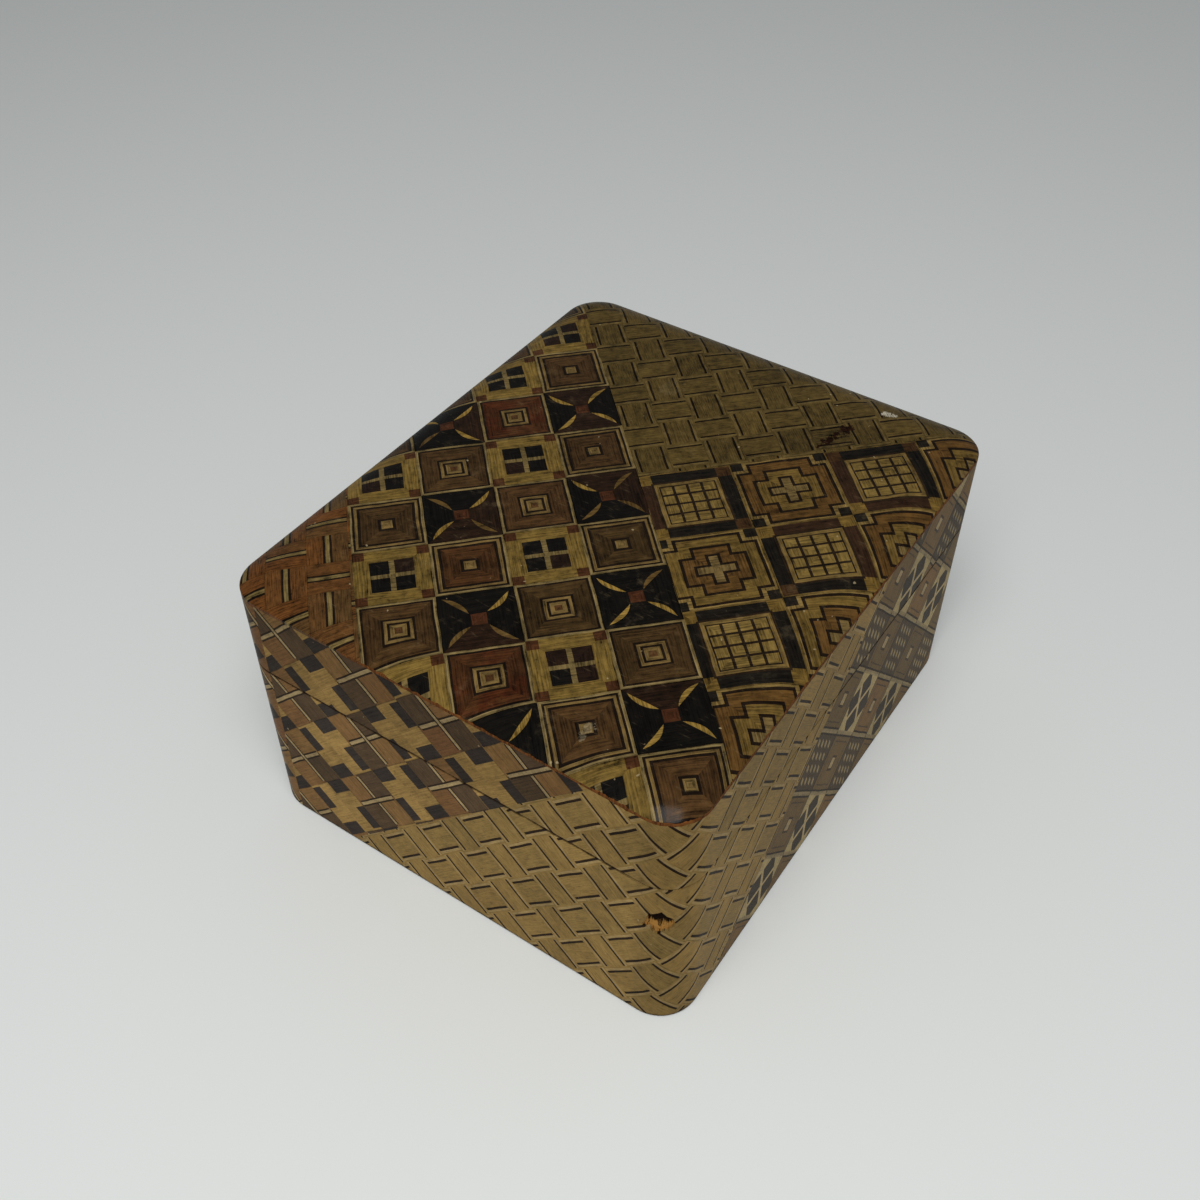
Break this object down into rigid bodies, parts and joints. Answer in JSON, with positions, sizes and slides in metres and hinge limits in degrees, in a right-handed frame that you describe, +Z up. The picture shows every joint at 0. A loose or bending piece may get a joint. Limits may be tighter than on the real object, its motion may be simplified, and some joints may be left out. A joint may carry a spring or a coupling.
{
  "type": "wooden puzzle box",
  "caption": "Rectangular wooden trick box with rounded corners, a crowned sliding lid, geometric marquetry on every side and a hidden key panel in the underside that works the lock bolts.",
  "frame": {"origin": "middle of the resting face, on the table", "axes": "+X along the long side towards the lock end (the lid slides along -X), +Y along the short side, +Z up"},
  "size_m": [0.12, 0.1004, 0.0628],
  "materials": {
    "carcass_wood": "planed softwood, bare inside",
    "hardwood": "waxed hardwood",
    "sole_wood": "satin lacquered hardwood",
    "marquetry": "geometric wood marquetry under worn satin lacquer"
  },
  "bodies": {
    "base": {"base_front_wall": "carcass_wood", "base_back_wall": "carcass_wood", "base_left_end": "carcass_wood", "base_right_end": "carcass_wood", "floor_board": "carcass_wood", "sole_panel": "sole_wood", "false_end": "carcass_wood", "shaft_cap": "carcass_wood", "shaft_block_front": "carcass_wood", "shaft_block_middle": "carcass_wood", "shaft_block_back": "carcass_wood", "runner_front": "hardwood", "runner_back": "hardwood", "runner_pegs": "hardwood", "base_veneer": "marquetry"},
    "lid": {"lid_front_wall": "carcass_wood", "lid_back_wall": "carcass_wood", "lid_left_end": "carcass_wood", "lid_right_end": "carcass_wood", "lid_top_board": "carcass_wood", "lid_side_veneer": "marquetry", "lid_top_veneer": "marquetry"},
    "key": {"sole_key": "sole_wood", "front_wedge": "hardwood", "back_wedge": "hardwood"},
    "bolt_front": {"lock_bolt_front": "hardwood"},
    "bolt_back": {"lock_bolt_back": "hardwood"}
  },
  "joints": [
    {"name": "lid_slide", "type": "slide", "parent": "base", "child": "lid", "axis": [-1, 0, 0], "range_m": [0, 0.062]},
    {"name": "key_slide", "type": "slide", "parent": "base", "child": "key", "axis": [0, -1, 0], "range_m": [0, 0.009]},
    {"name": "bolt_front_lift", "type": "slide", "parent": "base", "child": "bolt_front", "axis": [0, 0, 1], "range_m": [0, 0.0045]},
    {"name": "bolt_back_lift", "type": "slide", "parent": "base", "child": "bolt_back", "axis": [0, 0, 1], "range_m": [0, 0.0045]}
  ],
  "couplings": [
    {"joint": "bolt_front_lift", "follows": "key_slide", "ratio": 0.5},
    {"joint": "bolt_back_lift", "follows": "key_slide", "ratio": 0.5}
  ]
}
